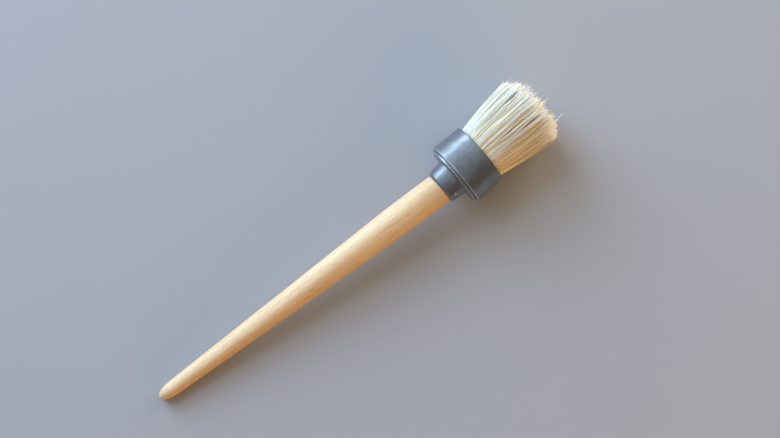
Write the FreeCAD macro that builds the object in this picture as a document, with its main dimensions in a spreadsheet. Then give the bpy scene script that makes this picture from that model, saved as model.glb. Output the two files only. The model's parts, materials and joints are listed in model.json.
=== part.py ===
import FreeCAD, Part

import math
import os

import Sketcher

# A round pastry brush, lying on a table. Millimetres and degrees, +Z up, the table at z = 0.
#
# The handle lies along +X, free end first. The head (neck, ferrule, bristles) is set a few degrees
# askew on the handle, and the brush has rolled until it rests on three places: the handle's free end,
# the ferrule's rear corner and the underside of the bristles.
#
# Each piece is built about its own axis and then placed:
#   the handle's local Z runs from its free end to its shoulder, and the head leans towards local X;
#   a head piece's local Z is the head's axis, from the neck's rear edge to the bristle tips.

# ---------------------------------------------------------------- driving dimensions

SIZES = {
    # Handle, turned. Heights are measured from the free end.
    "handle_length": 188.0,
    "nose_radius": 2.6,
    "tip_side_radius": 14.0,
    "tip_radius": 4.12,
    "taper_top_height": 152.0,
    "taper_top_radius": 8.3,
    "land_radius": 8.5,
    "land_top_height": 182.0,
    "shoulder_radius": 8.42,
    "tenon_radius": 7.2,
    "tenon_length": 9.0,
    "shoulder_round": 1.1,
    "shoulder_relief": 0.15,
    "cutter_reach": 14.0,
    # How the head sits.
    "head_cant": 5.5,
    "head_pitch": 1.2,
    # Ferrule cap: neck, shoulder disc and the stepped skirt inside the band. Heights in the head are
    # measured from the neck's rear edge.
    "sheet_metal": 0.6,
    "mouth_radius": 7.45,
    "neck_rear_radius": 9.6,
    "neck_front_radius": 10.8,
    "neck_length": 9.3,
    "mouth_curl": 1.6,
    "neck_root_round": 0.8,
    "disc_radius": 16.6,
    "disc_round": 0.45,
    "skirt_step": 2.1,
    "skirt_radius": 17.8,
    "skirt_end": 16.0,
    # Ferrule band.
    "band_setback": 1.5,
    "band_rear_radius": 18.75,
    "band_front_radius": 17.8,
    "band_length": 17.8,
    "band_lip_radius": 16.75,
    "band_rear_round": 0.7,
    "band_front_round": 0.55,
    # Brads through the neck into the tenon.
    "brad_height": 3.9,
    "brad_shank_radius": 0.6,
    "brad_head_radius": 1.25,
    "brad_head_height": 0.55,
    "brad_seat_radius": 10.27,
    "brad_point_radius": 4.2,
    # Inside the ferrule.
    "backing_thickness": 1.0,
    "resin_narrow_radius": 15.9,
    "resin_wide_radius": 17.15,
    "resin_step_height": 12.1,
    "resin_top": 18.0,
    "plug_foot_height": 13.0,
    "plug_foot_radius": 5.8,
    "plug_top_height": 36.0,
    "plug_top_radius": 2.0,
    "plug_nose_round": 1.2,
    # Bristles.
    "hair_root_radius": 16.9,
    "hair_throat_radius": 16.1,
    "hair_throat_height": 28.6,
    "hair_flare_radius": 20.3,
    "hair_flare_height": 55.2,
    "hair_widest_radius": 20.2,
    "hair_edge_height": 66.6,
    "hair_flare_round": 80.0,
    "hair_edge_round": 5.5,
    "ring_split_root_radius": 10.6,
    "ring_split_tip_radius": 13.0,
    "ring_gap": 0.2,
    "hair_split_height": 67.7,
    "hair_core_radius": 0.6,
    "hair_core_height": 68.4,
    "outer_lock_angle": 28.4,
    "inner_lock_angle": 57.6,
    "table_cut_depth": 4.0,
    "table_cut_length": 75.0,
}
OUTER_LOCKS = 12
INNER_LOCKS = 6
FULL_TURN = 360.0

doc = FreeCAD.newDocument("PastryBrush")


def fill_row(sheet, row, alias):
    """Write one dimension to the sheet, its name in column A and its value in column B."""
    sheet.set("A%d" % row, alias)
    sheet.set("B%d" % row, str(SIZES[alias]))
    sheet.setAlias("B%d" % row, alias)


def fill_sheet():
    sheet = doc.addObject("Spreadsheet::Sheet", "Sizes")
    for row, alias in enumerate(SIZES, start=1):
        fill_row(sheet, row, alias)
    doc.recompute()
    return sheet


# ---------------------------------------------------------------- small helpers

def value_of(terms):
    """The number that a sum of sheet names and plain numbers comes to, such as 'neck_length + 1'."""
    total = 0.0
    sign = 1.0
    for word in terms.split():
        if word in "+-":
            sign = -1.0 if word == "-" else 1.0
        else:
            total += sign * (SIZES[word] if word in SIZES else float(word))
            sign = 1.0
    return total


def bound(terms):
    """The same sum as an expression on the sheet."""
    return " ".join("Sizes." + word if word in SIZES else word for word in terms.split())


def new_body(label):
    body = doc.addObject("PartDesign::Body", label)
    body.Label = label
    return body


def new_sketch(body, name, role):
    """A sketch on one of the body's own origin planes."""
    sketch = body.newObject("Sketcher::SketchObject", name)
    plane = [item for item in body.Origin.OriginFeatures if item.Role == role][0]
    sketch.AttachmentSupport = [(plane, "")]
    sketch.MapMode = "FlatFace"
    return sketch


def place_sketch(sketch, along="0", above="0", axis=FreeCAD.Vector(0, 0, 1), angle="0"):
    """Move a sketch along its own Y and off its plane, then turn it about one of its own axes."""
    base = FreeCAD.Vector(0, value_of(along), value_of(above))
    sketch.AttachmentOffset = FreeCAD.Placement(base, FreeCAD.Rotation(axis, value_of(angle)))
    sketch.setExpression("AttachmentOffset.Base.y", bound(along))
    sketch.setExpression("AttachmentOffset.Base.z", bound(above))
    sketch.setExpression("AttachmentOffset.Rotation.Angle", bound(angle))


def bind(sketch, kind, terms, *where):
    """Add a dimension and tie it to the sheet."""
    index = sketch.addConstraint(Sketcher.Constraint(kind, *where, value_of(terms)))
    sketch.setExpression("Constraints[%d]" % index, bound(terms))


def pin_point(sketch, geometry, end, across, along):
    """Hold one end of a line or arc at (across, along) from the sketch's origin."""
    bind(sketch, "DistanceX", across, -1, 1, geometry, end)
    bind(sketch, "DistanceY", along, -1, 1, geometry, end)


def draw_outline(sketch, corners):
    """A closed outline of straight lines. Each corner is (radius, height), as sums of sheet names."""
    points = [FreeCAD.Vector(value_of(across), value_of(along), 0.0) for across, along in corners]
    count = len(points)
    for index in range(count):
        sketch.addGeometry(Part.LineSegment(points[index], points[(index + 1) % count]))
    for index in range(count):
        sketch.addConstraint(Sketcher.Constraint("Coincident", index, 2, (index + 1) % count, 1))
    for index, (across, along) in enumerate(corners):
        pin_point(sketch, index, 1, across, along)


def revolve(body, sketch, kind="PartDesign::Revolution", sweep=None):
    """Turn a sketch about its own vertical axis, all the way round or through an angle of the sheet."""
    turned = body.newObject(kind, sketch.Name + "_turned")
    turned.Profile = sketch
    turned.ReferenceAxis = (sketch, ["V_Axis"])
    turned.Angle = FULL_TURN
    if sweep:
        turned.Midplane = True
        turned.setExpression("Angle", bound(sweep))
    doc.recompute()
    return turned


def ring_edges(shape, radius, height):
    """The names of the circular edges about local Z with this radius at this height."""
    found = []
    for number, edge in enumerate(shape.Edges, start=1):
        if not isinstance(edge.Curve, Part.Circle):
            continue
        same_radius = abs(edge.Curve.Radius - radius) < 0.01
        same_height = abs(edge.Curve.Center.z - height) < 0.01
        if same_radius and same_height:
            found.append("Edge%d" % number)
    if not found:
        raise RuntimeError("no circular edge of radius %.2f at height %.2f" % (radius, height))
    return found


def round_ring(body, across, along, size):
    """Fillet the circular edge at (across, along)."""
    base = body.Tip
    fillet = body.newObject("PartDesign::Fillet", "Round")
    fillet.Base = (base, ring_edges(base.Shape, value_of(across), value_of(along)))
    fillet.setExpression("Radius", bound(size))
    doc.recompute()


def cut_away(body, sketch, kind):
    """Pocket or groove with a sketch, checking that it really removes material."""
    before = body.Shape.Volume
    if kind == "PartDesign::Groove":
        cut = revolve(body, sketch, kind)
    else:
        cut = body.newObject(kind, sketch.Name + "_cut")
        cut.Profile = sketch
        cut.Type = "ThroughAll"
        cut.Midplane = True
    doc.recompute()
    if not cut.Shape.Volume < before:
        raise RuntimeError("%s removes nothing from %s" % (sketch.Name, body.Label))


def brad_hole(body, sketch):
    """The hole that both brads share, straight through along the sketch's normal."""
    sketch.addGeometry(Part.Circle(FreeCAD.Vector(), FreeCAD.Vector(0, 0, 1), value_of("brad_shank_radius")))
    bind(sketch, "Radius", "brad_shank_radius", 0)
    pin_point(sketch, 0, 3, "0", "brad_height")
    cut_away(body, sketch, "PartDesign::Pocket")


# ---------------------------------------------------------------- handle

def handle_profile(sketch):
    """Half of the handle: rounded nose, side arc, long taper, swell, parallel land and the tenon's stub."""
    nose = value_of("nose_radius")
    side = value_of("tip_side_radius")
    tip = value_of("tip_radius")
    top = FreeCAD.Vector(value_of("taper_top_radius"), value_of("taper_top_height"), 0)
    land_top = FreeCAD.Vector(value_of("land_radius"), value_of("land_top_height"), 0)
    stub = FreeCAD.Vector(value_of("shoulder_radius"), value_of("handle_length + tenon_length"), 0)
    up = FreeCAD.Vector(0, 0, 1)

    # Near enough for the solver to start from: the side arc's centre lies beyond the handle's axis.
    side_centre = FreeCAD.Vector(tip - side, nose + math.sqrt((side - nose) ** 2 - (side - tip) ** 2), 0)
    meeting = math.atan2(nose - side_centre.y, -side_centre.x)
    foot = FreeCAD.Vector(tip, side_centre.y, 0)
    lean = math.atan2(top.x - foot.x, top.y - foot.y)
    land_foot = FreeCAD.Vector(land_top.x, top.y + (land_top.x - top.x) / math.tan(lean / 2), 0)
    swell_radius = (land_foot.y - top.y) / math.sin(lean)
    swell_centre = FreeCAD.Vector(land_foot.x - swell_radius, land_foot.y, 0)

    sketch.addGeometry(Part.ArcOfCircle(Part.Circle(FreeCAD.Vector(0, nose, 0), up, nose), -math.pi / 2, meeting))
    sketch.addGeometry(Part.ArcOfCircle(Part.Circle(side_centre, up, side), meeting, 0.0))
    sketch.addGeometry(Part.LineSegment(foot, top))
    sketch.addGeometry(Part.ArcOfCircle(Part.Circle(swell_centre, up, swell_radius), -lean, 0.0))
    sketch.addGeometry(Part.LineSegment(land_foot, land_top))
    sketch.addGeometry(Part.LineSegment(land_top, stub))
    sketch.addGeometry(Part.LineSegment(stub, FreeCAD.Vector(0, stub.y, 0)))
    sketch.addGeometry(Part.LineSegment(FreeCAD.Vector(0, stub.y, 0), FreeCAD.Vector()))
    nose_arc, side_arc, taper, swell_arc, land, stub_side, stub_end, middle = range(8)

    for first, second in ((nose_arc, side_arc), (side_arc, taper), (taper, swell_arc), (swell_arc, land)):
        sketch.addConstraint(Sketcher.Constraint("Tangent", first, 2, second, 1))
    for first, second in ((land, stub_side), (stub_side, stub_end), (stub_end, middle)):
        sketch.addConstraint(Sketcher.Constraint("Coincident", first, 2, second, 1))
    sketch.addConstraint(Sketcher.Constraint("Coincident", middle, 2, nose_arc, 1))
    sketch.addConstraint(Sketcher.Constraint("Coincident", nose_arc, 1, -1, 1))
    sketch.addConstraint(Sketcher.Constraint("PointOnObject", nose_arc, 3, -2))
    sketch.addConstraint(Sketcher.Constraint("Vertical", land))
    sketch.addConstraint(Sketcher.Constraint("Horizontal", stub_end))
    sketch.addConstraint(Sketcher.Constraint("PointOnObject", stub_end, 2, -2))
    bind(sketch, "Radius", "nose_radius", nose_arc)
    bind(sketch, "Radius", "tip_side_radius", side_arc)
    bind(sketch, "DistanceX", "tip_radius", -1, 1, taper, 1)
    pin_point(sketch, taper, 2, "taper_top_radius", "taper_top_height")
    pin_point(sketch, land, 2, "land_radius", "land_top_height")
    pin_point(sketch, stub_side, 2, "shoulder_radius", "handle_length + tenon_length")


def tenon_profile(sketch):
    """What is turned off the stub: all outside the tenon, and the shoulder's rounded corner."""
    inner = value_of("tenon_radius")
    outer = value_of("cutter_reach")
    size = value_of("shoulder_round")
    corner = value_of("shoulder_radius + shoulder_relief")
    points = [
        FreeCAD.Vector(corner - size, 0, 0),
        FreeCAD.Vector(inner, 0, 0),
        FreeCAD.Vector(inner, outer, 0),
        FreeCAD.Vector(outer, outer, 0),
        FreeCAD.Vector(outer, -size, 0),
        FreeCAD.Vector(corner, -size, 0),
    ]
    for start, stop in zip(points, points[1:]):
        sketch.addGeometry(Part.LineSegment(start, stop))
    centre = FreeCAD.Vector(corner - size, -size, 0)
    sketch.addGeometry(
        Part.ArcOfCircle(Part.Circle(centre, FreeCAD.Vector(0, 0, 1), size), 0.0, math.pi / 2)
    )
    floor, wall, top, side, step, arc = range(6)
    for first, second in ((floor, wall), (wall, top), (top, side), (side, step), (step, arc), (arc, floor)):
        sketch.addConstraint(Sketcher.Constraint("Coincident", first, 2, second, 1))
    pin_point(sketch, floor, 1, "shoulder_radius + shoulder_relief - shoulder_round", "0")
    pin_point(sketch, wall, 1, "tenon_radius", "0")
    pin_point(sketch, top, 1, "tenon_radius", "cutter_reach")
    pin_point(sketch, side, 1, "cutter_reach", "cutter_reach")
    pin_point(sketch, step, 1, "cutter_reach", "0 - shoulder_round")
    pin_point(sketch, arc, 1, "shoulder_radius + shoulder_relief", "0 - shoulder_round")
    bind(sketch, "Radius", "shoulder_round", arc)


def build_handle():
    """One turned piece. Its shoulder and tenon are cut about the head's axis, so they lean with it."""
    body = new_body("handle")
    profile = new_sketch(body, "HandleProfile", "XZ_Plane")
    handle_profile(profile)
    revolve(body, profile)

    tenon = new_sketch(body, "TenonCut", "XZ_Plane")
    place_sketch(tenon, along="handle_length", angle="0 - head_cant")
    tenon_profile(tenon)
    cut_away(body, tenon, "PartDesign::Groove")

    pilot = new_sketch(body, "PilotHole", "YZ_Plane")
    place_sketch(pilot, along="handle_length", axis=FreeCAD.Vector(1, 0, 0), angle="head_cant")
    brad_hole(body, pilot)
    return body


# ---------------------------------------------------------------- ferrule

def build_cap():
    """Drawn steel cap: turned-in mouth, flared neck, shoulder disc and a skirt that steps out."""
    body = new_body("ferrule_cap")
    profile = new_sketch(body, "CapProfile", "XZ_Plane")
    draw_outline(profile, [
        ("mouth_radius", "0"),
        ("neck_rear_radius", "0"),
        ("neck_front_radius", "neck_length"),
        ("disc_radius", "neck_length"),
        ("disc_radius", "neck_length + skirt_step"),
        ("skirt_radius", "neck_length + skirt_step"),
        ("skirt_radius", "skirt_end"),
        ("skirt_radius - sheet_metal", "skirt_end"),
        ("skirt_radius - sheet_metal", "neck_length + skirt_step + sheet_metal"),
        ("disc_radius - sheet_metal", "neck_length + skirt_step + sheet_metal"),
        ("disc_radius - sheet_metal", "neck_length + sheet_metal"),
        ("neck_front_radius - sheet_metal", "neck_length + sheet_metal"),
        ("neck_rear_radius - sheet_metal", "sheet_metal"),
        ("mouth_radius", "sheet_metal"),
    ])
    revolve(body, profile)
    round_ring(body, "neck_rear_radius", "0", "mouth_curl")
    round_ring(body, "neck_rear_radius - sheet_metal", "sheet_metal", "mouth_curl - sheet_metal")
    round_ring(body, "neck_front_radius", "neck_length", "neck_root_round")
    round_ring(body, "disc_radius", "neck_length", "disc_round")
    hole = new_sketch(body, "CapBradHole", "YZ_Plane")
    brad_hole(body, hole)
    return body


def build_band():
    """Steel band round the bristles. Its rear edge hooks over the cap's step, its front edge turns in."""
    body = new_body("ferrule_band")
    rear = "neck_length + band_setback"
    front = rear + " + band_length"
    profile = new_sketch(body, "BandProfile", "XZ_Plane")
    draw_outline(profile, [
        ("band_lip_radius", rear),
        ("band_rear_radius", rear),
        ("band_front_radius", front),
        ("band_lip_radius", front),
        ("band_lip_radius", front + " - sheet_metal"),
        ("band_front_radius - sheet_metal", front + " - sheet_metal"),
        ("band_rear_radius - sheet_metal", rear + " + sheet_metal"),
        ("band_lip_radius", rear + " + sheet_metal"),
    ])
    revolve(body, profile)
    round_ring(body, "band_rear_radius", rear, "band_rear_round")
    round_ring(body, "band_front_radius", front, "band_front_round")
    return body


def build_brads():
    """Two round-headed brads, opposite each other, through the neck into the tenon."""
    body = new_body("ferrule_brads")
    body.AllowCompound = True
    profile = new_sketch(body, "BradProfile", "XY_Plane")
    place_sketch(profile, above="brad_height", angle="0 - 90")
    top = "brad_seat_radius + brad_head_height"
    draw_outline(profile, [
        ("0", "brad_point_radius"),
        ("brad_shank_radius", "brad_point_radius + 1"),
        ("brad_shank_radius", "brad_seat_radius"),
        ("brad_head_radius", "brad_seat_radius"),
        ("brad_head_radius - 0.45", top),
        ("0", top),
    ])
    brad = revolve(body, profile)
    pair = body.newObject("PartDesign::PolarPattern", "BradPair")
    pair.Originals = [brad]
    pair.Axis = (profile, ["N_Axis"])
    pair.Angle = FULL_TURN
    pair.Occurrences = 2
    body.Tip = pair
    doc.recompute()
    return body


# ---------------------------------------------------------------- inside the ferrule

def build_backing_disc():
    """Fibre disc that closes the neck from inside."""
    body = new_body("backing_disc")
    sketch = new_sketch(body, "DiscOutline", "XY_Plane")
    place_sketch(sketch, above="neck_length + sheet_metal")
    sketch.addGeometry(Part.Circle(FreeCAD.Vector(), FreeCAD.Vector(0, 0, 1), value_of("resin_narrow_radius")))
    sketch.addConstraint(Sketcher.Constraint("Coincident", 0, 3, -1, 1))
    bind(sketch, "Radius", "resin_narrow_radius", 0)
    pad = body.newObject("PartDesign::Pad", "Disc")
    pad.Profile = sketch
    pad.setExpression("Length", bound("backing_thickness"))
    doc.recompute()
    return body


def build_resin():
    """Cured block that fills the ferrule round the plug's foot, and holds the bristles' roots."""
    body = new_body("setting_resin")
    foot = "neck_length + sheet_metal + backing_thickness"
    profile = new_sketch(body, "ResinProfile", "XZ_Plane")
    draw_outline(profile, [
        ("0", foot),
        ("resin_narrow_radius", foot),
        ("resin_narrow_radius", "resin_step_height"),
        ("resin_wide_radius", "resin_step_height"),
        ("resin_wide_radius", "resin_top"),
        ("plug_foot_radius", "resin_top"),
        ("plug_foot_radius", "plug_foot_height"),
        ("0", "plug_foot_height"),
    ])
    revolve(body, profile)
    return body


def build_plug():
    """Turned plug in the middle of the roots. It tapers, and spreads the bristles."""
    body = new_body("root_plug")
    profile = new_sketch(body, "PlugProfile", "XZ_Plane")
    draw_outline(profile, [
        ("0", "plug_foot_height"),
        ("plug_foot_radius", "plug_foot_height"),
        ("plug_foot_radius", "resin_top"),
        ("plug_top_radius", "plug_top_height"),
        ("0", "plug_top_height"),
    ])
    revolve(body, profile)
    round_ring(body, "plug_top_radius", "plug_top_height", "plug_nose_round")
    return body


# ---------------------------------------------------------------- bristles

def build_outer_lock(number):
    """One clump of the outer bristles: a slice of the tuft's outer ring, nipped in at the ferrule."""
    body = new_body("bristle_lock_outer_%02d" % number)
    profile = new_sketch(body, "OuterLock%02d" % number, "XZ_Plane")
    draw_outline(profile, [
        ("ring_split_root_radius", "resin_top"),
        ("hair_root_radius", "resin_top"),
        ("hair_throat_radius", "hair_throat_height - 1"),
        ("hair_throat_radius", "hair_throat_height"),
        ("hair_flare_radius", "hair_flare_height"),
        ("hair_widest_radius", "hair_edge_height"),
        ("ring_split_tip_radius", "hair_split_height"),
    ])
    revolve(body, profile, sweep="outer_lock_angle")
    round_ring(body, "hair_flare_radius", "hair_flare_height", "hair_flare_round")
    round_ring(body, "hair_widest_radius", "hair_edge_height", "hair_edge_round")
    return body


def press_flat(body):
    """The table presses a small flat on the lowest lock. The sketch's own X points straight down."""
    sketch = new_sketch(body, "TableCut", "XZ_Plane")
    place_sketch(sketch, angle="0 - head_pitch")
    draw_outline(sketch, [
        ("axis_height", "0"),
        ("axis_height + table_cut_depth", "0"),
        ("axis_height + table_cut_depth", "table_cut_length"),
        ("axis_height", "table_cut_length"),
    ])
    cut_away(body, sketch, "PartDesign::Pocket")


def build_inner_lock(number):
    """One clump of the inner bristles, between the plug and the outer ring."""
    body = new_body("bristle_lock_inner_%02d" % number)
    profile = new_sketch(body, "InnerLock%02d" % number, "XZ_Plane")
    draw_outline(profile, [
        ("plug_foot_radius", "resin_top"),
        ("ring_split_root_radius - ring_gap", "resin_top"),
        ("ring_split_tip_radius - ring_gap", "hair_split_height"),
        ("hair_core_radius", "hair_core_height"),
        ("plug_top_radius", "plug_top_height"),
    ])
    revolve(body, profile, sweep="inner_lock_angle")
    return body


# ---------------------------------------------------------------- how the brush lies

def direction(pitch, yaw):
    """A unit vector that rises by pitch and turns from +X towards +Y by yaw, both in degrees."""
    rise = math.radians(pitch)
    turn = math.radians(yaw)
    return FreeCAD.Vector(
        math.cos(rise) * math.cos(turn), math.cos(rise) * math.sin(turn), math.sin(rise)
    )


def facing(axis, lean):
    """The rotation whose local Z is axis and whose local X is as near to lean as can be."""
    across = lean - axis * lean.dot(axis)
    return FreeCAD.Rotation(across, axis.cross(across), axis, "ZXY")


def lowest_point(shape):
    return shape.optimalBoundingBox(False, False).ZMin


def head_axis(handle_pitch):
    """The head's axis for a handle at this pitch along +X: the cant that the pitches don't use is yaw."""
    pitch = math.radians(SIZES["head_pitch"])
    slope = math.radians(handle_pitch)
    cant = math.radians(SIZES["head_cant"])
    cosine = (math.cos(cant) - math.sin(slope) * math.sin(pitch)) / (math.cos(slope) * math.cos(pitch))
    return direction(SIZES["head_pitch"], math.degrees(math.acos(cosine)))


def handle_placement(handle_pitch, junction):
    """Puts the shoulder's centre at the junction, and turns the cant towards the head."""
    axis = direction(handle_pitch, 0.0)
    turn = facing(axis, head_axis(handle_pitch))
    return FreeCAD.Placement(junction - axis * SIZES["handle_length"], turn)


def find_handle_pitch(handle, junction):
    """Lower the free end until it touches the table, by halving the range of pitch."""
    low = 2.5
    high = 5.0
    for _ in range(24):
        middle = (low + high) / 2
        handle.Placement = handle_placement(middle, junction)
        if lowest_point(handle.Shape) > 0.0:
            low = middle
        else:
            high = middle
    return high


def add_axis_height(sheet, band):
    """Work out how high the head's axis starts above the table when the band's rear corner rests on it."""
    level = facing(direction(SIZES["head_pitch"], 0.0), FreeCAD.Vector(0, 0, -1))
    band.Placement = FreeCAD.Placement(FreeCAD.Vector(), level)
    SIZES["axis_height"] = -lowest_point(band.Shape)
    fill_row(sheet, len(SIZES), "axis_height")
    doc.recompute()


def lay_on_table(handle, cap, band, brads, inside, outer, inner):
    """Rest the brush on its ferrule corner, its bristles and its handle's end, centred over the origin."""
    junction = FreeCAD.Vector(0, 0, SIZES["axis_height"])
    pitch = find_handle_pitch(handle, junction)
    axis = head_axis(pitch)
    handle_axis = direction(pitch, 0.0)

    leaning = FreeCAD.Placement(junction, facing(axis, axis - handle_axis))
    for piece in [cap, band, brads] + inside:
        piece.Placement = leaning
    downward = FreeCAD.Placement(junction, facing(axis, FreeCAD.Vector(0, 0, -1)))
    for ring in (outer, inner):
        for number, piece in enumerate(ring):
            turn = FreeCAD.Rotation(FreeCAD.Vector(0, 0, 1), number * FULL_TURN / len(ring))
            piece.Placement = downward * FreeCAD.Placement(FreeCAD.Vector(), turn)
    handle.Placement = handle_placement(pitch, junction)

    pieces = [handle, cap, band, brads] + inside + outer + inner
    box = FreeCAD.BoundBox()
    for piece in pieces:
        box.add(piece.Shape.optimalBoundingBox(False, False))
    shift = FreeCAD.Vector(-box.Center.x, -box.Center.y, -box.ZMin)
    for piece in pieces:
        piece.Placement = FreeCAD.Placement(shift, FreeCAD.Rotation()) * piece.Placement
    doc.recompute()
    print("handle pitch %.3f" % pitch)
    print("head axis", axis)
    print("junction", junction + shift)
    print("box", box.XLength, box.YLength, box.ZLength, "lowest", box.ZMin)
    return pieces


# ---------------------------------------------------------------- build, check, write

def check_document(pieces):
    """Stop on a failed feature, or on a piece that isn't a valid closed solid."""
    for item in doc.Objects:
        if "Invalid" in item.State or "Error" in item.State:
            raise RuntimeError("%s is %s" % (item.Name, item.State))
    for piece in pieces:
        shape = piece.Shape
        if shape.isNull() or not shape.isValid() or not shape.Solids:
            raise RuntimeError("%s has no valid solid" % piece.Label)


sizes = fill_sheet()
ferrule_band = build_band()
add_axis_height(sizes, ferrule_band)
outer_locks = [build_outer_lock(number + 1) for number in range(OUTER_LOCKS)]
press_flat(outer_locks[0])
brush = lay_on_table(
    build_handle(),
    build_cap(),
    ferrule_band,
    build_brads(),
    [build_backing_disc(), build_resin(), build_plug()],
    outer_locks,
    [build_inner_lock(number + 1) for number in range(INNER_LOCKS)],
)
check_document(brush)
os.makedirs("parts", exist_ok=True)
for part in brush:
    part.Shape.exportStep("parts/%s.step" % part.Label)
    print(part.Label, len(part.Shape.Solids), "solid(s), %.1f mm3" % part.Shape.Volume)
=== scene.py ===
import json
import math

import bpy
import numpy as np
from mathutils import Matrix, Vector


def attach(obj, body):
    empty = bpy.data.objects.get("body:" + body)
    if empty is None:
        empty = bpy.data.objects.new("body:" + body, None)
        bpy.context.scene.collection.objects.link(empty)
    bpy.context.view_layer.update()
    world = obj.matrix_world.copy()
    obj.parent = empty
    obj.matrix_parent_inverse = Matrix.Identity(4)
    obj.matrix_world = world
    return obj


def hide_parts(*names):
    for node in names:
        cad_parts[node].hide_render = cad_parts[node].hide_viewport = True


# A round pastry brush on a table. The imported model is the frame: its handle, ferrule and inner pieces
# keep their shapes and get materials, and each solid bristle lock is replaced by its hairs.
#
# Lengths in the hair code and in the patterns are millimetres in the head's or the handle's own frame.
# On the head, heights run from the neck's rear edge to the tips, and angles go round it from its top
# towards its shaded side. Lights, camera and floor are in metres.

MM = 0.001
BODY = "root"

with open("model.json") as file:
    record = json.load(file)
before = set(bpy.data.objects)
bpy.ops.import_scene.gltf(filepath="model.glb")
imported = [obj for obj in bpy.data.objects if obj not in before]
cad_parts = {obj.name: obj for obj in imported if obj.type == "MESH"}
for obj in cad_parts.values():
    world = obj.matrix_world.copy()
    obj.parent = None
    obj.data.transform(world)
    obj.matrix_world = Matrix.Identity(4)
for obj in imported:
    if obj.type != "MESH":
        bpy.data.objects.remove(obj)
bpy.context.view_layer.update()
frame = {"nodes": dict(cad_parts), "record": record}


# ---------------------------------------------------------------- places, from the frame

def node_mesh(name):
    """A node's corners, in metres, and its triangles."""
    mesh = frame["nodes"][name].data
    mesh.calc_loop_triangles()
    corners = np.empty(len(mesh.vertices) * 3)
    mesh.vertices.foreach_get("co", corners)
    triangles = np.empty(len(mesh.loop_triangles) * 3, np.int32)
    mesh.loop_triangles.foreach_get("vertices", triangles)
    return corners.reshape(-1, 3), triangles.reshape(-1, 3)


def centre_of_mass(name):
    """It lies on the axis of any turned piece."""
    corners, triangles = node_mesh(name)
    a, b, c = (corners[triangles[:, i]] for i in range(3))
    volumes = np.einsum("ij,ij->i", a, np.cross(b, c))
    return (volumes[:, None] * (a + b + c)).sum(0) / (4 * volumes.sum())


class Frame:
    """An origin with a top, a side and an axis direction. The side points to the brush's shaded side."""

    def __init__(self, origin, axis):
        self.axis = np.array(axis) / np.linalg.norm(axis)
        side = np.cross(self.axis, (0, 0, 1))
        self.side = side / np.linalg.norm(side)
        self.top = np.cross(self.side, self.axis)
        self.origin = np.array(origin)

    def heights(self, name):
        """How far along the axis a node's corners lie, in mm."""
        return (node_mesh(name)[0] - self.origin) @ self.axis / MM

    def radii(self, name):
        """How far from the axis a node's corners lie, in mm."""
        corners = node_mesh(name)[0] - self.origin
        return np.linalg.norm(corners - np.outer(corners @ self.axis, self.axis), axis=1) / MM

    def place(self, top, side, height):
        """Millimetres in this frame, as metres in the row frame."""
        spread = top[..., None] * self.top + side[..., None] * self.side
        return self.origin + MM * (spread + height[..., None] * self.axis)

    def matrix(self):
        """Local X is the top, Y the side and Z the axis, in mm."""
        turned = np.column_stack((self.top, self.side, self.axis)) * MM
        return Matrix.Translation(self.origin) @ Matrix(turned.tolist()).to_4x4()


def find_head():
    """The head's frame, its origin at the neck's rear edge."""
    rear = centre_of_mass("backing_disc")
    head = Frame(rear, centre_of_mass("root_plug") - rear)
    return Frame(rear + head.heights("ferrule_cap").min() * MM * head.axis, head.axis)


def find_handle():
    """The handle's frame, its origin at the grip and its axis towards the head."""
    grip = next(m for m in frame["record"]["mounts"] if m["name"] == "handle_grip")
    return Frame(grip["pos_m"], -np.array(grip["axis"]))


head = find_head()
handle = find_handle()


# ---------------------------------------------------------------- camera, light and floor

LENS_MM = 70
CAMERA_TARGET = Vector((0.029, 0.0003, 0.0))
CAMERA_AZIMUTH = -36.6
CAMERA_ELEVATION = 85.5
CAMERA_DISTANCE = 0.827

WINDOW_AZIMUTH = -172.0
ROOM_AZIMUTH = WINDOW_AZIMUTH + 180
TIPS_AZIMUTH = 98.0
AIM_HEIGHT = 0.02

GLOW = (0.65, 0.87, 1.06)
COOL = (0.75, 1.02, 1.56)
WARM = (1.24, 0.67, 0.16)
DAYLIGHT = (0.95, 1.0, 1.05)
NEUTRAL = (1.02, 1.0, 0.94)

# The room's own light, from straight away from the window (0) to straight towards it (1).
ROOM_GLOW_ELEVATION = 20
ROOM_GLOW = (
    (0.0, (0.06, 0.045, 0.035)),
    (0.25, (0.14, 0.11, 0.085)),
    (0.40, (0.21, 0.17, 0.135)),
    (0.66, (0.26, 0.23, 0.195)),
    (0.85, (0.44, 0.49, 0.54)),
    (1.0, (0.72, 0.84, 0.98)),
)

FLOOR_SIZE = 6.0
FLOOR_GAP = 0.00005
FLOOR_GREY = (0.37, 0.37, 0.37)


def towards(azimuth, elevation):
    """From the object to a camera or light: azimuth 0 is on the -Y side, and 90 on the +X side."""
    turn = math.radians(azimuth)
    rise = math.radians(elevation)
    return Vector((math.sin(turn) * math.cos(rise), -math.cos(turn) * math.cos(rise), math.sin(rise)))


def aim(thing, position, target):
    thing.location = position
    thing.rotation_euler = (target - position).to_track_quat("-Z", "Y").to_euler()


def make_camera():
    data = bpy.data.cameras.new("camera")
    data.lens = LENS_MM
    camera = bpy.data.objects.new("camera", data)
    bpy.context.scene.collection.objects.link(camera)
    aim(camera, CAMERA_TARGET + CAMERA_DISTANCE * towards(CAMERA_AZIMUTH, CAMERA_ELEVATION), CAMERA_TARGET)
    bpy.context.scene.camera = camera


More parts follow.
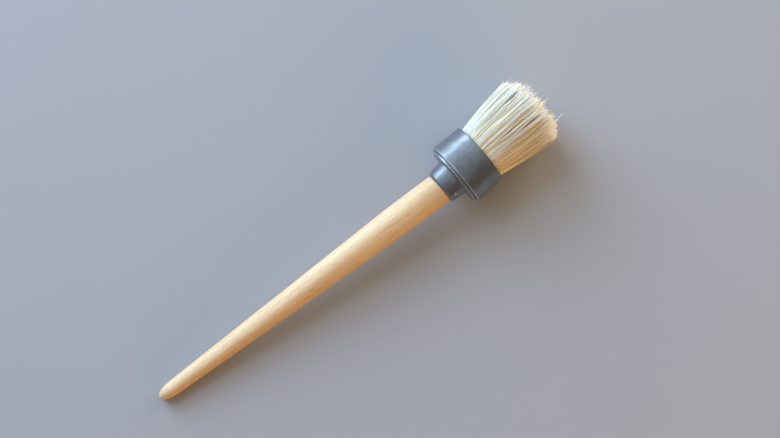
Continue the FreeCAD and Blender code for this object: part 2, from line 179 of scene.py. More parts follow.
def area_light(name, azimuth, elevation, distance, size, watts, colour, glossy=False, diffuse=True):
    """A rectangular light, aimed at the ferrule, that can be left out of reflections or of plain light."""
    data = bpy.data.lights.new(name, "AREA")
    data.shape = "RECTANGLE"
    data.size, data.size_y = size
    data.energy = watts
    data.color = colour
    light = bpy.data.objects.new(name, data)
    bpy.context.scene.collection.objects.link(light)
    light.visible_glossy = glossy
    light.visible_diffuse = diffuse
    target = Vector((head.origin + AIM_HEIGHT * head.axis).tolist())
    aim(light, target + distance * towards(azimuth, elevation), target)


def make_lights():
    """A cool window with sky above it, a warm fill opposite, one past the tips, and a ceiling to reflect."""
    area_light("window", WINDOW_AZIMUTH, 15, 1.5, size=(1.5, 0.5), watts=13.6, colour=GLOW, glossy=True)
    area_light("key", WINDOW_AZIMUTH, 27, 1.5, size=(0.8, 0.4), watts=6.5, colour=COOL)
    area_light("sky", WINDOW_AZIMUTH, 44, 1.7, size=(1.3, 0.9), watts=12.0, colour=COOL)
    area_light("room", ROOM_AZIMUTH, 20, 1.6, size=(1.2, 0.6), watts=10.0, colour=WARM)
    area_light("end", TIPS_AZIMUTH, 22, 1.6, size=(1.2, 0.8), watts=14.5, colour=NEUTRAL)
    area_light("ceiling", WINDOW_AZIMUTH, 78, 1.2, size=(2.0, 2.4), watts=2.6, colour=DAYLIGHT,
               glossy=True, diffuse=False)


def make_world():
    """A room's light: dim and warm on the far side, brighter and cooler towards the window."""
    world = bpy.data.worlds.new("room")
    world.use_nodes = True
    tree = world.node_tree
    background = tree.nodes["Background"]
    direction = add_node(tree, "ShaderNodeTexCoord").outputs["Generated"]
    window = towards(WINDOW_AZIMUTH, ROOM_GLOW_ELEVATION)
    facing = add_node(tree, "ShaderNodeVectorMath", {0: direction, 1: window}, operation="DOT_PRODUCT")
    ramp = add_node(tree, "ShaderNodeValToRGB", {"Fac": levels(tree, facing.outputs["Value"], -1.0, 1.0)})
    for _ in ROOM_GLOW[2:]:
        ramp.color_ramp.elements.new(0.5)
    for element, (place, colour) in zip(ramp.color_ramp.elements, ROOM_GLOW):
        element.position = place
        element.color = (*colour, 1)
    tree.links.new(ramp.outputs["Color"], background.inputs["Color"])
    background.inputs["Strength"].default_value = 1.0
    bpy.context.scene.world = world


def make_floor():
    """It lies a hair's breadth under the table plane, so that nothing resting there shares a face with it."""
    bpy.ops.mesh.primitive_plane_add(size=FLOOR_SIZE, location=(0, 0, -FLOOR_GAP))
    floor = bpy.context.object
    floor.name = "floor"
    floor.data.materials.append(plain_material("floor", FLOOR_GREY, roughness=0.9, specular=0.1))


# ---------------------------------------------------------------- shader helpers

def new_material(name):
    material = bpy.data.materials.new(name)
    material.use_nodes = True
    return material, material.node_tree, material.node_tree.nodes["Principled BSDF"]


def plain_material(name, colour, roughness, specular):
    material, _, shader = new_material(name)
    shader.inputs["Base Color"].default_value = (*colour, 1)
    shader.inputs["Roughness"].default_value = roughness
    shader.inputs["Specular IOR Level"].default_value = specular
    return material


def feed(tree, socket, value):
    """Link a socket, or set it to a plain value."""
    if isinstance(value, bpy.types.NodeSocket):
        tree.links.new(value, socket)
    else:
        socket.default_value = value


def add_node(tree, kind, inputs=None, **settings):
    node = tree.nodes.new(kind)
    for key, value in settings.items():
        setattr(node, key, value)
    for key, value in (inputs or {}).items():
        feed(tree, node.inputs[key], value)
    return node


def local_mm(tree, place):
    """Coordinates in a frame's own millimetres, Z along its axis."""
    location, rotation, scale = place.matrix().decompose()
    coordinates = add_node(tree, "ShaderNodeTexCoord").outputs["Object"]
    return add_node(tree, "ShaderNodeMapping", {
        "Vector": coordinates, "Location": location, "Rotation": rotation.to_euler(), "Scale": scale,
    }, vector_type="TEXTURE").outputs["Vector"]


def noise(tree, vector, across, along, detail=3.0, roughness=0.5, distortion=0.0):
    """Noise with features of these sizes, in mm."""
    stretch = (1 / across, 1 / across, 1 / along)
    scaled = add_node(tree, "ShaderNodeVectorMath", {0: vector, 1: stretch}, operation="MULTIPLY")
    texture = add_node(tree, "ShaderNodeTexNoise", {
        "Vector": scaled.outputs[0], "Scale": 1.0, "Detail": detail,
        "Roughness": roughness, "Distortion": distortion,
    })
    return texture.outputs["Fac"]


def levels(tree, value, low, high, to_low=0.0, to_high=1.0):
    """The value's stretch from low to high, spread over the new range and held at its ends."""
    return add_node(tree, "ShaderNodeMapRange", {
        "Value": value, "From Min": low, "From Max": high, "To Min": to_low, "To Max": to_high,
    }).outputs["Result"]


def combine(tree, first, second, operation):
    return add_node(tree, "ShaderNodeMath", {0: first, 1: second}, operation=operation).outputs[0]


def mix_colours(tree, share, first, second):
    """The colours are sockets or plain triples."""
    node = add_node(tree, "ShaderNodeMix", {0: share}, data_type="RGBA", blend_type="MIX")
    for index, colour in ((6, first), (7, second)):
        feed(tree, node.inputs[index], (*colour, 1) if isinstance(colour, tuple) else colour)
    return node.outputs[2]


def stain(tree, colour, pattern, strength, second):
    """Lay a second colour over the first where the pattern is, at this strength."""
    return mix_colours(tree, combine(tree, pattern, strength, "MULTIPLY"), colour, second)


def bump(tree, shader, height, depth, strength=0.5):
    """Relief of this depth, in mm."""
    node = add_node(tree, "ShaderNodeBump", {"Height": height, "Distance": depth * MM, "Strength": strength})
    tree.links.new(node.outputs[0], shader.inputs["Normal"])


def set_coat(shader, weight, roughness):
    shader.inputs["Coat Weight"].default_value = weight
    shader.inputs["Coat Roughness"].default_value = roughness


# ---------------------------------------------------------------- materials

BEECH_PALE = (0.81, 0.59, 0.34)
BEECH_WARM = (0.745, 0.49, 0.24)
BEECH_GRAIN = (0.68, 0.43, 0.21)
BEECH_STREAK = (0.60, 0.34, 0.14)
BEECH_PORE = (0.46, 0.24, 0.09)

STEEL_LIGHT = (0.27, 0.30, 0.335)
STEEL_DARK = (0.21, 0.23, 0.25)
STEEL_SPECK = (0.62, 0.64, 0.66)
# Near-white bare metal for the rims: partly wear, partly a painted edge highlight.
STEEL_WEAR_AND_HIGHLIGHT = (0.86, 0.87, 0.86)
STEEL_ROUGHNESS = 0.38
BRAD_LIGHT = (0.55, 0.55, 0.54)
BRAD_DARK = (0.40, 0.39, 0.38)
BRAD_ROUGHNESS = 0.35

# The rims' bright bare metal, partly wear and partly a painted edge highlight: how far it reaches, how near
# the widest corner counts as on the rim, and how far from each piece's rear edge its rim is looked for, in
# mm.
RIM_REACH = 0.55
RIM_TOLERANCE = 0.15
CAP_RIM_WITHIN = 10.5
BAND_RIM_WITHIN = 2.0

# Inside the ferrule: (name of material and slot, node, first tone, second tone, roughness, size of the
# pattern across and along the head in mm).
INNER_PIECES = (
    ("fibre_board", "backing_disc", (0.32, 0.24, 0.16), (0.22, 0.16, 0.10), 0.85, (0.6, 0.6)),
    ("resin", "setting_resin", (0.42, 0.27, 0.10), (0.30, 0.18, 0.06), 0.30, (2.0, 2.0)),
    ("plug_wood", "root_plug", (0.62, 0.46, 0.30), (0.50, 0.35, 0.21), 0.60, (0.5, 12.0)),
)


def beech_material():
    """Pale turned beech: soft growth bands, fine grain, streaks and short dark flecks along the handle."""
    material, tree, shader = new_material("beech")
    at = local_mm(tree, handle)
    bands = levels(tree, noise(tree, at, across=5.0, along=90.0, detail=2.0, distortion=0.3), 0.38, 0.66)
    grain = levels(tree, noise(tree, at, across=0.50, along=34.0, roughness=0.6), 0.35, 0.70)
    pores = levels(tree, noise(tree, at, across=0.34, along=4.6, detail=1.0, roughness=0.4), 0.60, 0.74)
    streaks = levels(tree, noise(tree, at, across=1.0, along=44.0, detail=2.0), 0.56, 0.74)
    colour = mix_colours(tree, bands, BEECH_PALE, BEECH_WARM)
    colour = stain(tree, colour, grain, 0.40, BEECH_GRAIN)
    colour = stain(tree, colour, streaks, 0.52, BEECH_STREAK)
    colour = stain(tree, colour, pores, 0.56, BEECH_PORE)
    tree.links.new(colour, shader.inputs["Base Color"])
    tree.links.new(levels(tree, grain, 0.0, 1.0, 0.48, 0.60), shader.inputs["Roughness"])
    set_coat(shader, weight=0.7, roughness=0.45)
    bump(tree, shader, combine(tree, grain, pores, "SUBTRACT"), depth=0.04)
    return material


def widest_ring(name, within):
    """The radius and height, in the head's frame, of the widest edge this near a turned piece's rear."""
    radii = head.radii(name)
    heights = head.heights(name)
    rear = heights < heights.min() + within
    widest = radii[rear].max()
    return widest, heights[rear & (radii > widest - RIM_TOLERANCE)].min()


def near_ring(tree, at, ring, reach):
    """1 on a ring round the axis, falling to 0 this many mm away from it."""
    radius, height = ring
    up = add_node(tree, "ShaderNodeSeparateXYZ", {0: at}).outputs["Z"]
    across = add_node(tree, "ShaderNodeVectorMath", {0: at, 1: (1, 1, 0)}, operation="MULTIPLY").outputs[0]
    out = add_node(tree, "ShaderNodeVectorMath", {0: across}, operation="LENGTH").outputs["Value"]
    sideways = combine(tree, combine(tree, out, radius, "SUBTRACT"), 2.0, "POWER")
    along = combine(tree, combine(tree, up, height, "SUBTRACT"), 2.0, "POWER")
    gap = combine(tree, combine(tree, sideways, along, "ADD"), 0.5, "POWER")
    return levels(tree, gap, reach, 0.25 * reach)


def steel_material(name, light, dark, roughness, wear_and_highlight_ring=None):
    """Dull plated steel: cloudy mottling, faint turning lines, small bright specks and bright bare metal
    along a rim, partly wear and partly a painted edge highlight.
    """
    material, tree, shader = new_material(name)
    at = local_mm(tree, head)
    cloudy = noise(tree, at, across=4.5, along=5.5, detail=4.0, roughness=0.55, distortion=0.4)
    clouds = levels(tree, cloudy, 0.35, 0.68)
    specks = levels(tree, noise(tree, at, across=0.5, along=0.6, detail=2.0, roughness=0.6), 0.62, 0.80)
    lines = noise(tree, at, across=60.0, along=0.35, detail=2.0, roughness=0.6)
    colour = mix_colours(tree, clouds, light, dark)
    colour = stain(tree, colour, specks, 0.35, STEEL_SPECK)
    # Painted highlight: near-white metal along the rim, partly wear and partly the light that its edge
    # catches.
    if wear_and_highlight_ring:
        patchy = noise(tree, at, across=1.6, along=1.6, detail=2.0, roughness=0.6)
        patches = levels(tree, patchy, 0.35, 0.65, 0.15, 0.9)
        wear_and_highlight = combine(tree, near_ring(tree, at, wear_and_highlight_ring, RIM_REACH), patches, "MULTIPLY")
        colour = mix_colours(tree, wear_and_highlight, colour, STEEL_WEAR_AND_HIGHLIGHT)
    tree.links.new(colour, shader.inputs["Base Color"])
    shader.inputs["Metallic"].default_value = 0.85
    rough = combine(tree, clouds, 0.10, "MULTIPLY")
    tree.links.new(combine(tree, rough, roughness, "ADD"), shader.inputs["Roughness"])
    set_coat(shader, weight=0.5, roughness=0.16)
    bump(tree, shader, combine(tree, lines, specks, "ADD"), depth=0.02)
    return material


def mottled_material(name, first, second, roughness, grain):
    """Two tones in a pattern with features of about this size, in mm, across and along the head."""
    material, tree, shader = new_material(name)
    pattern = levels(tree, noise(tree, local_mm(tree, head), *grain), 0.35, 0.65)
    tree.links.new(mix_colours(tree, pattern, first, second), shader.inputs["Base Color"])
    shader.inputs["Roughness"].default_value = roughness
    return material


def dress(name, material):
    """A CAD node keeps its shape and gets this material."""
    node = frame["nodes"][name]
    for place in node.material_slots:
        place.material = material


def dress_frame():
    dress("handle", beech_material())
    for name, node, within in (
        ("cap_steel", "ferrule_cap", CAP_RIM_WITHIN),
        ("band_steel", "ferrule_band", BAND_RIM_WITHIN),
    ):
        rim = widest_ring(node, within)
        steel = steel_material(name, STEEL_LIGHT, STEEL_DARK, STEEL_ROUGHNESS, rim)
        dress(node, steel)
    brad = steel_material("brad_steel", BRAD_LIGHT, BRAD_DARK, BRAD_ROUGHNESS)
    dress("ferrule_brads", brad)
    for name, node, *look in INNER_PIECES:
        dress(node, mottled_material(name, *look))


# ---------------------------------------------------------------- the tuft's dimensions

# One hair is a tube with this many sides. Hairs deeper than the surface layer stand for more than one
# each, so they are thicker; the layer begins between these shares of the tuft's radius.
SIDES = 3
HAIR_RADIUS = 0.13
DEEP_HAIR_RADIUS = 0.21
SURFACE_LAYER = (0.80, 0.90)
THICKNESS_SPREAD = (0.8, 1.25)
TAPER_START = 0.80
TIP_TAPER = 0.62
HAIR_ROUGHNESS = 0.42
HAIR_SPECULAR = 0.35

# Where along a hair its rings of corners lie, as shares of its length, and how much those shares vary.
OUTER_RINGS = np.array((0.0, 0.20, 0.28, 0.34, 0.47, 0.60, 0.73, 0.84, 0.93, 1.0))
INNER_RINGS = np.array((0.0, 0.28, 0.52, 0.76, 0.93, 1.0))
RING_JITTER = 0.025

ROOT_HEIGHT = 17.5
ROOT_RADIUS = 16.6
THROAT_HEIGHT = head.heights("ferrule_band").max()
THROAT_RADIUS = 15.7
THROAT_WAIST = 0.7
WAIST_REACH = 1.2
TIP_HEIGHT = head.heights("bristle_lock_inner_01").max() - 0.4
FLARE_POWER = 1.7
# The lock farthest from the table keeps the tuft's full radius.
TUFT_RADIUS = head.radii("bristle_lock_outer_07").max()

# Each ring of locks: (name, seed of its first lock, hairs in a lock, from and to as shares of the tuft's
# radius, rings of corners).
INNER_SHARE = 0.63
LAYERS = (
    ("bristle_lock_outer", 100, 900, INNER_SHARE, 1.0, OUTER_RINGS),
    ("bristle_lock_inner", 200, 1150, 0.0, INNER_SHARE, INNER_RINGS),
)

# Where the shorter edge, the partings and the paler shades set in: from this share of the tuft's radius,
# over this much more of it.
SHORTER_EDGE = (0.7, 0.3)
PARTED_LAYER = (0.82, 0.10)
PALE_LAYER = (0.86, 0.10)

# Shades of one batch of white and yellow bristle: (name, colour, share outside, share inside). The darker
# golden shades go mostly inside, partly as painted shade in the gaps between the surface hairs.
SHADES = (
    ("ivory", (0.965, 0.955, 0.87), 0.50, 0.00),
    ("cream", (0.97, 0.92, 0.73), 0.28, 0.04),
    ("straw", (0.97, 0.86, 0.56), 0.14, 0.20),
    ("gold", (0.95, 0.71, 0.32), 0.06, 0.45),
    ("honey", (0.86, 0.53, 0.19), 0.02, 0.31),
)
TIP_SHADES = (
    ("flag_white", (0.99, 0.99, 0.94)),
    ("flag_cream", (0.98, 0.94, 0.82)),
)

# Where the surface hairs part and show the darker ones under them:
# (angle round the head, from and to as shares of the free length, half width in mm).
PARTINGS = (
    (-145, 0.25, 0.80, 0.35),
    (-118, 0.45, 1.00, 0.55),
    (-96, 0.30, 0.80, 0.35),
    (-74, 0.40, 0.95, 0.45),
    (-52, 0.35, 0.80, 0.25),
    (-33, 0.55, 0.98, 0.70),
    (-24, 0.30, 0.75, 0.30),
    (-12, 0.25, 0.85, 0.35),
    (-3, 0.35, 0.70, 0.30),
    (7, 0.15, 1.05, 0.80),
    (17, 0.45, 1.05, 0.70),
    (25, 0.20, 0.85, 0.45),
    (36, 0.25, 1.00, 0.65),
    (47, 0.40, 0.90, 0.35),
    (61, 0.30, 0.85, 0.30),
    (84, 0.35, 0.95, 0.45),
    (108, 0.25, 0.80, 0.35),
    (131, 0.40, 1.00, 0.50),
    (158, 0.30, 0.85, 0.35),
)
PARTING_REACH = 6.0

# Hairs gather into small wisps and larger clumps. Spacing of both, in the unit disc, and how much shorter
# a hair is half way between two gatherings, in mm.
CLUMP_SPACING = 0.13
WISP_SPACING = 0.045
WISP_POINT = 1.5
CLUMP_POINT = 0.9

# They lie in rings: the outermost one, the step between rings and how far places vary round a ring and
# across it, as shares of the spacing. From the steady ring outwards they don't vary across it.
OUTERMOST_RING = 0.97
RING_STEP = 0.87
VARY_ROUND = 0.32
VARY_ACROSS = 0.25
STEADY_RING = 0.9

# How firmly a clump and a wisp draw their hairs in: at most this share of the way, times a grip of its
# own between these limits.
CLUMP_HOLD = 0.45
CLUMP_GRIPS = (0.0, 0.8)
WISP_HOLD = 0.80
WISP_GRIPS = (0.3, 1.0)

# How clumps and wisps differ: in length and in height over the surface, in mm, in sideways sway, in the
# unit disc, and in tint, where more is paler.
CLUMP_LENGTHS = 0.5
CLUMP_SWAY = 0.010
CLUMP_TINTS = (-0.15, 0.20)
WISP_LENGTHS = 0.85
WISP_RISE = 0.15
WISP_TINT = 0.1
GOLDEN_WISPS = 0.30
GOLDEN_TINTS = (-0.9, -0.3)

# Lengths, in mm: how far they vary, how much longer the tuft's middle is than its tip height, how much
# shorter its edge is all round and on its two sides, and the few shorter and longer hairs: (share of
# hairs, mean difference).
LENGTH_SPREAD = 0.35
MIDDLE_EXTRA = 0.2
EDGE_FALL = 0.8
LIT_SIDE_FALL = 5.0
SHADED_SIDE_FALL = 1.6
SHORT_HAIRS = (0.25, 1.6)
LONG_HAIRS = (0.05, 1.0)

# How far hairs wander, in mm at the tips: a wave along each, a lean, and more of it for a few loose ones.
# A wave turns this far, in radians, between the ferrule and the tips, from a start between these limits.
WAVE = 0.16
WAVE_TURNS = (2.0, 5.0)
WAVE_STARTS = (0, 6.3)
LEAN = 0.28
LOOSE_SHARE = 0.06
LOOSE_LEAN = 1.1

# A few stray hairs stand out, all from beyond this share of the radius: how many of the hairs there, and
# their extra lengths and spread at the tips, in mm.
STRAYS_FROM = 0.9
STRAY_SHARE = 0.012
STRAY_LENGTHS = (0.5, 5.0)
STRAY_SPREAD = 2.0

# Hairs that meet the table turn to lie along it: over how much height, in metres, and how far above it.
TABLE_BEND = 0.0004
TABLE_CLEARANCE = 1.3 * HAIR_RADIUS * MM

# Painted shade: the tuft is painted more golden towards its shaded side: by how much at most, and the
# slope, middle and limits of that change across the unit disc.
PAINTED_SHADE_GOLD = 0.22
PAINTED_SHADE_SLOPE = 2.5
PAINTED_SHADE_MIDDLE = 0.5
PAINTED_SHADE_LIMITS = (-0.6, 1)

# The share of hairs with the creamier tip: of the palest shade, and how much more with each darker one.
# Tip shades cover fewer rings than TIP_RINGS.
CREAM_TIPS = 0.35
CREAM_TIPS_PER_SHADE = 0.1
TIP_RINGS = 3


# ---------------------------------------------------------------- places in the unit disc

# Seen along the head, the tuft is a disc of radius 1: its first coordinate is the top, its second the
# side.

def rise(value, start, width):
    """0 up to the start, then rising to 1 over this width."""
    return np.clip((value - start) / width, 0, 1)


def polar(points):
    return np.hypot(points[:, 0], points[:, 1]), np.arctan2(points[:, 1], points[:, 0])


def spaced_points(random, spacing):
    """Points in the unit disc about this far apart, with a full ring of them near its edge."""
    points = []
    ring = OUTERMOST_RING
    while ring > 0:
        count = max(1, round(2 * math.pi * ring / spacing))
        turn = random.uniform(0, 2 * math.pi)
        for index in range(count):
            angle = turn + 2 * math.pi * (index + random.uniform(-VARY_ROUND, VARY_ROUND)) / count
            reach = ring + random.uniform(-VARY_ACROSS, VARY_ACROSS) * spacing * (ring < STEADY_RING)
            points.append((reach * math.cos(angle), reach * math.sin(angle)))
        ring -= spacing * RING_STEP
    return np.array(points)


def lock_spots(random, count, first_angle, width, inner, outer):
    """Places for hairs, evenly spread over one lock's share of the disc."""
    angle = np.radians(first_angle + width * random.random(count))
    radius = np.sqrt(inner ** 2 + (outer ** 2 - inner ** 2) * random.random(count))
    return np.stack((radius * np.cos(angle), radius * np.sin(angle)), 1)


class Gatherings:
    """The points that hairs gather round. Each has its own length, in mm, grip on its hairs and tint."""

    def __init__(self, random, spacing, length_spread, grips):
        self.spacing = spacing
        self.points = spaced_points(random, spacing)
        self.count = len(self.points)
        self.lengths = random.normal(0, length_spread, self.count)
        self.grips = random.uniform(*grips, self.count)

    def nearest(self, spots):
        gaps = ((spots[:, None, :] - self.points[None, :, :]) ** 2).sum(2)
        return gaps.argmin(1)

    def off_centre(self, spots, chosen):
        """How far places lie from their gathering: 0 at its point and about 1 half way to the next one."""
        gap = np.linalg.norm(spots - self.points[chosen], axis=1)
        return np.clip(gap / (0.5 * self.spacing), 0, 1.3)


def make_clumps(random):
    """Clumps also sway sideways towards the tips."""
    clumps = Gatherings(random, CLUMP_SPACING, CLUMP_LENGTHS, CLUMP_GRIPS)
    clumps.tints = random.uniform(*CLUMP_TINTS, clumps.count)
    clumps.sways = random.normal(0, CLUMP_SWAY, (clumps.count, 2))
    return clumps


def make_wisps(random):
    """Wisps also lie a little higher or lower than each other, and some are much more golden."""
    wisps = Gatherings(random, WISP_SPACING, WISP_LENGTHS, WISP_GRIPS)
    wisps.rises = random.normal(0, WISP_RISE, wisps.count)
    golden = random.random(wisps.count) < GOLDEN_WISPS
    wisps.tints = np.where(golden, random.uniform(*GOLDEN_TINTS, wisps.count), WISP_TINT)
    return wisps


guide_random = np.random.default_rng(7)
clumps = make_clumps(guide_random)
wisps = make_wisps(guide_random)


# ---------------------------------------------------------------- the hairs' lines

def free_share(height):
    """0 at the ferrule's front edge and 1 at the tips."""
    return np.clip((height - THROAT_HEIGHT) / (TIP_HEIGHT - THROAT_HEIGHT), 0, None)


def tuft_radius(height):
    """The tuft's radius: narrowing a little inside the ferrule, then flaring and levelling out."""
    inside = rise(height, ROOT_HEIGHT, THROAT_HEIGHT - ROOT_HEIGHT)
    flare = 1 - np.clip(1 - free_share(height), 0, 1) ** FLARE_POWER
    waist = THROAT_WAIST * np.exp(-((height - THROAT_HEIGHT) / WAIST_REACH) ** 2)
    narrowed = (THROAT_RADIUS - ROOT_RADIUS) * inside
    return ROOT_RADIUS + narrowed + (TUFT_RADIUS - THROAT_RADIUS) * flare - waist


def some(random, share, mean, count):
    """A length for this share of the hairs, and 0 for the others."""
    lengths = random.exponential(mean, count)
    return lengths * (random.random(count) < share)


def hair_lengths(random, spots, clump, wisp):
    """How high each hair reaches, in mm, and which hairs are strays."""
    radius, angle = polar(spots)
    count = len(spots)
    edge = rise(radius, *SHORTER_EDGE)
    lit_side = np.clip(-np.sin(angle), 0, 1) ** 2
    shaded_side = np.clip(np.sin(angle), 0, 1) ** 2
    fall = EDGE_FALL + LIT_SIDE_FALL * lit_side + SHADED_SIDE_FALL * shaded_side
    length = TIP_HEIGHT + MIDDLE_EXTRA - edge * fall
    length += clumps.lengths[clump] + wisps.lengths[wisp] + random.normal(0, LENGTH_SPREAD, count)
    length -= WISP_POINT * wisps.off_centre(spots, wisp) ** 2
    length -= CLUMP_POINT * clumps.off_centre(spots, clump) ** 2
    length -= some(random, *SHORT_HAIRS, count)
    length += some(random, *LONG_HAIRS, count)
    stray = (random.random(count) < STRAY_SHARE) & (radius > STRAYS_FROM)
    length += stray * random.uniform(*STRAY_LENGTHS, count)
    return length, stray


def gathered(spots, clump, wisp, share):
    """Where the hairs are drawn to, ring by ring: by clumps most past the middle, by wisps at the tips."""
    own = spots[:, None, :]
    small = wisps.points[wisp][:, None, :]
    large = clumps.points[clump][:, None, :]
    bulge = np.sin(np.pi * np.clip(share * 0.85, 0, 1)) ** 1.3
    tie = WISP_HOLD * wisps.grips[wisp][:, None] * np.clip(share, 0, 1) ** 1.6
    grip = CLUMP_HOLD * clumps.grips[clump][:, None] * bulge
    sway = clumps.sways[clump][:, None, :] * share[:, :, None] ** 2
    return own + (small - own) * tie[:, :, None] + (large - small) * grip[:, :, None] + sway


def parted(angle, share, reach):
    """How far, in mm round the head, the partings push a hair at this angle."""
    push = np.zeros_like(share)
    for where, start, stop, width in PARTINGS:
        away = (np.degrees(angle) - where + 180) % 360 - 180
        side = np.where(away < 0, -1.0, 1.0)
        opening = np.sin(np.pi * rise(share, start, stop - start))
        push += width * opening * (side * np.exp(-np.abs(away) / PARTING_REACH))[:, None]
    return push * reach[:, None]


def wander(random, share, stray):
    """How far, in mm, each hair leaves its place towards its tip."""
    each = (len(share), 1, 2)
    one = (len(share), 1, 1)
    along = share[:, :, None]
    size = random.normal(0, WAVE, each)
    wave = size * np.sin(along * random.uniform(*WAVE_TURNS, one) + random.uniform(*WAVE_STARTS, one))
    lean = random.normal(0, LEAN, each) * along
    loose = (random.random(len(share)) < LOOSE_SHARE)[:, None, None]
    lean += loose * random.normal(0, LOOSE_LEAN, each) * along ** 1.5
    lean += stray[:, None, None] * random.normal(0, STRAY_SPREAD, each) * along ** 2
    return wave * np.clip(along * 3, 0, 1) + lean


def comb_hairs(random, spots, ring_shares):
    """The hairs' middle lines, from their places in the unit disc: top, side and height, in mm."""
    radius, angle = polar(spots)
    clump = clumps.nearest(spots)
    wisp = wisps.nearest(spots)
    length, stray = hair_lengths(random, spots, clump, wisp)

    between = (ring_shares > 0) & (ring_shares < 1)
    jitter = random.uniform(-RING_JITTER, RING_JITTER, (len(spots), len(ring_shares)))
    height = ROOT_HEIGHT + (ring_shares + between * jitter) * (length - ROOT_HEIGHT)[:, None]
    share = free_share(height)

    around = tuft_radius(height) + wisps.rises[wisp][:, None] * np.clip(share * 2, 0, 1)
    across = gathered(spots, clump, wisp, share) * around[:, :, None]
    push = parted(angle, share, rise(radius, *PARTED_LAYER))
    tangent = np.stack((-np.sin(angle), np.cos(angle)), 1)
    across += push[:, :, None] * tangent[:, None, :]
    across += wander(random, share, stray)
    return np.concatenate((across, height[:, :, None]), 2)


def above_table(points):
    """Hairs that would reach through the table lie along it instead."""
    lift = points[:, :, 2] - TABLE_CLEARANCE
    points[:, :, 2] = TABLE_CLEARANCE + 0.5 * (lift + np.sqrt(lift ** 2 + TABLE_BEND ** 2))
    return points


# ---------------------------------------------------------------- the hairs' meshes

HAIR_MATERIALS = [
    plain_material(name, colour, HAIR_ROUGHNESS, HAIR_SPECULAR) for name, colour, *_ in SHADES + TIP_SHADES
]


def pick_shades(random, spots):
    """Outside hairs are mostly pale, the ones under them mostly golden (partly painted shade in the gaps),
    each clump has its own tint, and the shaded side is painted more golden as shade.
    """
    outside = np.array([shade[2] for shade in SHADES])
    inside = np.array([shade[3] for shade in SHADES])
    radius, _ = polar(spots)
    tint = clumps.tints[clumps.nearest(spots)] + wisps.tints[wisps.nearest(spots)]
    # Painted shade: hairs towards the tuft's shaded side take darker, more golden shades.
    shaded = np.clip(PAINTED_SHADE_SLOPE * spots[:, 1] + PAINTED_SHADE_MIDDLE, *PAINTED_SHADE_LIMITS)
    pale = rise(radius, *PALE_LAYER) + tint - PAINTED_SHADE_GOLD * shaded
    shares = inside + (outside - inside) * np.clip(pale, 0, 1)[:, None]
    limits = np.cumsum(shares / shares.sum(1)[:, None], 1)
    body = (random.random(len(radius))[:, None] > limits).sum(1).clip(0, len(SHADES) - 1)
    tip = (random.random(len(radius)) < CREAM_TIPS + CREAM_TIPS_PER_SHADE * body).astype(int)
    return body, tip


def tube_corners(random, lines, ring_shares, thickness):
    """The corners of one tapered tube round each line, ring by ring, in metres."""
    count = len(lines)
    middle = above_table(head.place(lines[:, :, 0], lines[:, :, 1], lines[:, :, 2]))
    taper = np.interp(ring_shares, (0, TAPER_START, 1), (1, 1, TIP_TAPER))
    thick = thickness * MM * random.uniform(*THICKNESS_SPREAD, count)
    turn = random.uniform(0, 2 * math.pi, count)[:, None] + 2 * math.pi * np.arange(SIDES) / SIDES
    spoke = np.cos(turn)[:, :, None] * head.top + np.sin(turn)[:, :, None] * head.side
    reach = (thick[:, None] * taper)[:, :, None, None]
    return middle[:, :, None, :] + reach * spoke[:, None, :, :]


def tube_faces(count, rings):
    """The corner numbers of every tube's walls (four each), root ends and tip ends."""
    ring, side = np.meshgrid(np.arange(rings - 1), np.arange(SIDES), indexing="ij")
    low = ring * SIDES + side
    low_next = ring * SIDES + (side + 1) % SIDES
    walls = np.stack((low, low_next, low_next + SIDES, low + SIDES), 2).reshape(-1, 4)
    per_hair = rings * SIDES
    starts = np.arange(count)[:, None] * per_hair
    walls = (starts[:, :, None] + walls[None]).reshape(-1, 4)
    root = starts + np.arange(SIDES)[::-1]
    tip = starts + per_hair - SIDES + np.arange(SIDES)
    return walls, root, tip


def face_shades(random, count, rings, shades):
    """The material number of every face, in the order of tube_faces, with tip shades at the tips."""
    body, tip = shades
    walls_each = (rings - 1) * SIDES
    wall_ring = np.tile(np.repeat(np.arange(rings - 1), SIDES), count)
    tip_rings = np.repeat(random.integers(0, TIP_RINGS, count), walls_each)
    at_tip = wall_ring >= rings - 1 - tip_rings
    tip = len(SHADES) + tip
    walls = np.where(at_tip, np.repeat(tip, walls_each), np.repeat(body, walls_each))
    return np.concatenate((walls, body, tip))


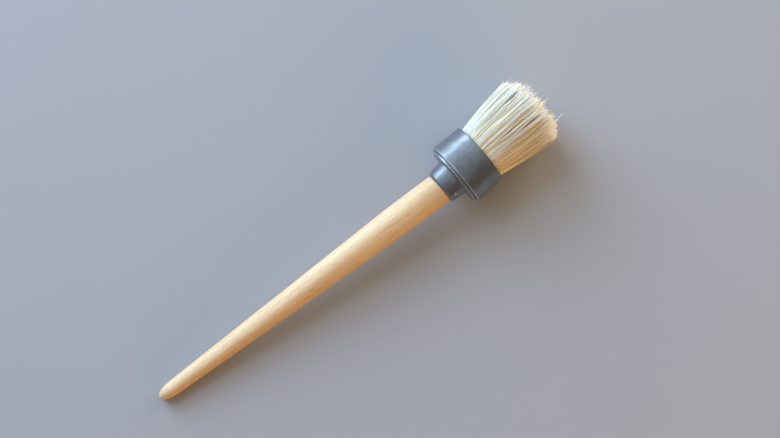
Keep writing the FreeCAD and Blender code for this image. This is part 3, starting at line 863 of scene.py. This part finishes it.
def hair_mesh(name, random, lines, ring_shares, thickness, shades):
    """One mesh of thin tapered tubes, closed at both ends, each with its own shade."""
    count, rings = lines.shape[:2]
    corners = tube_corners(random, lines, ring_shares, thickness)
    walls, root, tip = tube_faces(count, rings)
    loops = np.concatenate((walls.ravel(), root.ravel(), tip.ravel()))
    sizes = np.concatenate((np.full(len(walls), 4), np.full(2 * count, SIDES)))

    mesh = bpy.data.meshes.new(name)
    mesh.vertices.add(count * rings * SIDES)
    mesh.vertices.foreach_set("co", corners.ravel())
    mesh.loops.add(len(loops))
    mesh.loops.foreach_set("vertex_index", loops)
    mesh.polygons.add(len(sizes))
    mesh.polygons.foreach_set("loop_start", np.concatenate(((0,), np.cumsum(sizes)[:-1])))
    mesh.polygons.foreach_set("material_index", face_shades(random, count, rings, shades))
    mesh.polygons.foreach_set("use_smooth", np.ones(len(sizes), bool))
    mesh.update(calc_edges=True)
    mesh.validate()
    for material in HAIR_MATERIALS:
        mesh.materials.append(material)
    piece = bpy.data.objects.new(name, mesh)
    bpy.context.scene.collection.objects.link(piece)
    return piece


def lock_angle(name):
    """The angle round the head at which a lock's middle lies, in degrees."""
    away = centre_of_mass(name) - head.origin
    return math.degrees(math.atan2(away @ head.side, away @ head.top))


def make_lock(name, seed, hairs, width, inner, outer, ring_shares):
    random = np.random.default_rng(seed)
    spots = lock_spots(random, hairs, lock_angle(name) - width / 2, width, inner, outer)
    lines = comb_hairs(random, spots, ring_shares)
    thickness = np.interp(polar(spots)[0], SURFACE_LAYER, (DEEP_HAIR_RADIUS, HAIR_RADIUS))
    shades = pick_shades(random, spots)
    piece = hair_mesh(name.replace("lock", "hairs"), random, lines, ring_shares, thickness, shades)
    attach(piece, BODY)
    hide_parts(name)


def make_bristles():
    for layer, first_seed, hairs, inner, outer, ring_shares in LAYERS:
        names = sorted(name for name in frame["nodes"] if name.startswith(layer))
        for seed, name in enumerate(names, start=first_seed):
            make_lock(name, seed, hairs, 360 / len(names), inner, outer, ring_shares)


bpy.context.scene.view_settings.view_transform = "Standard"
make_camera()
make_world()
make_lights()
make_floor()
dress_frame()
make_bristles()
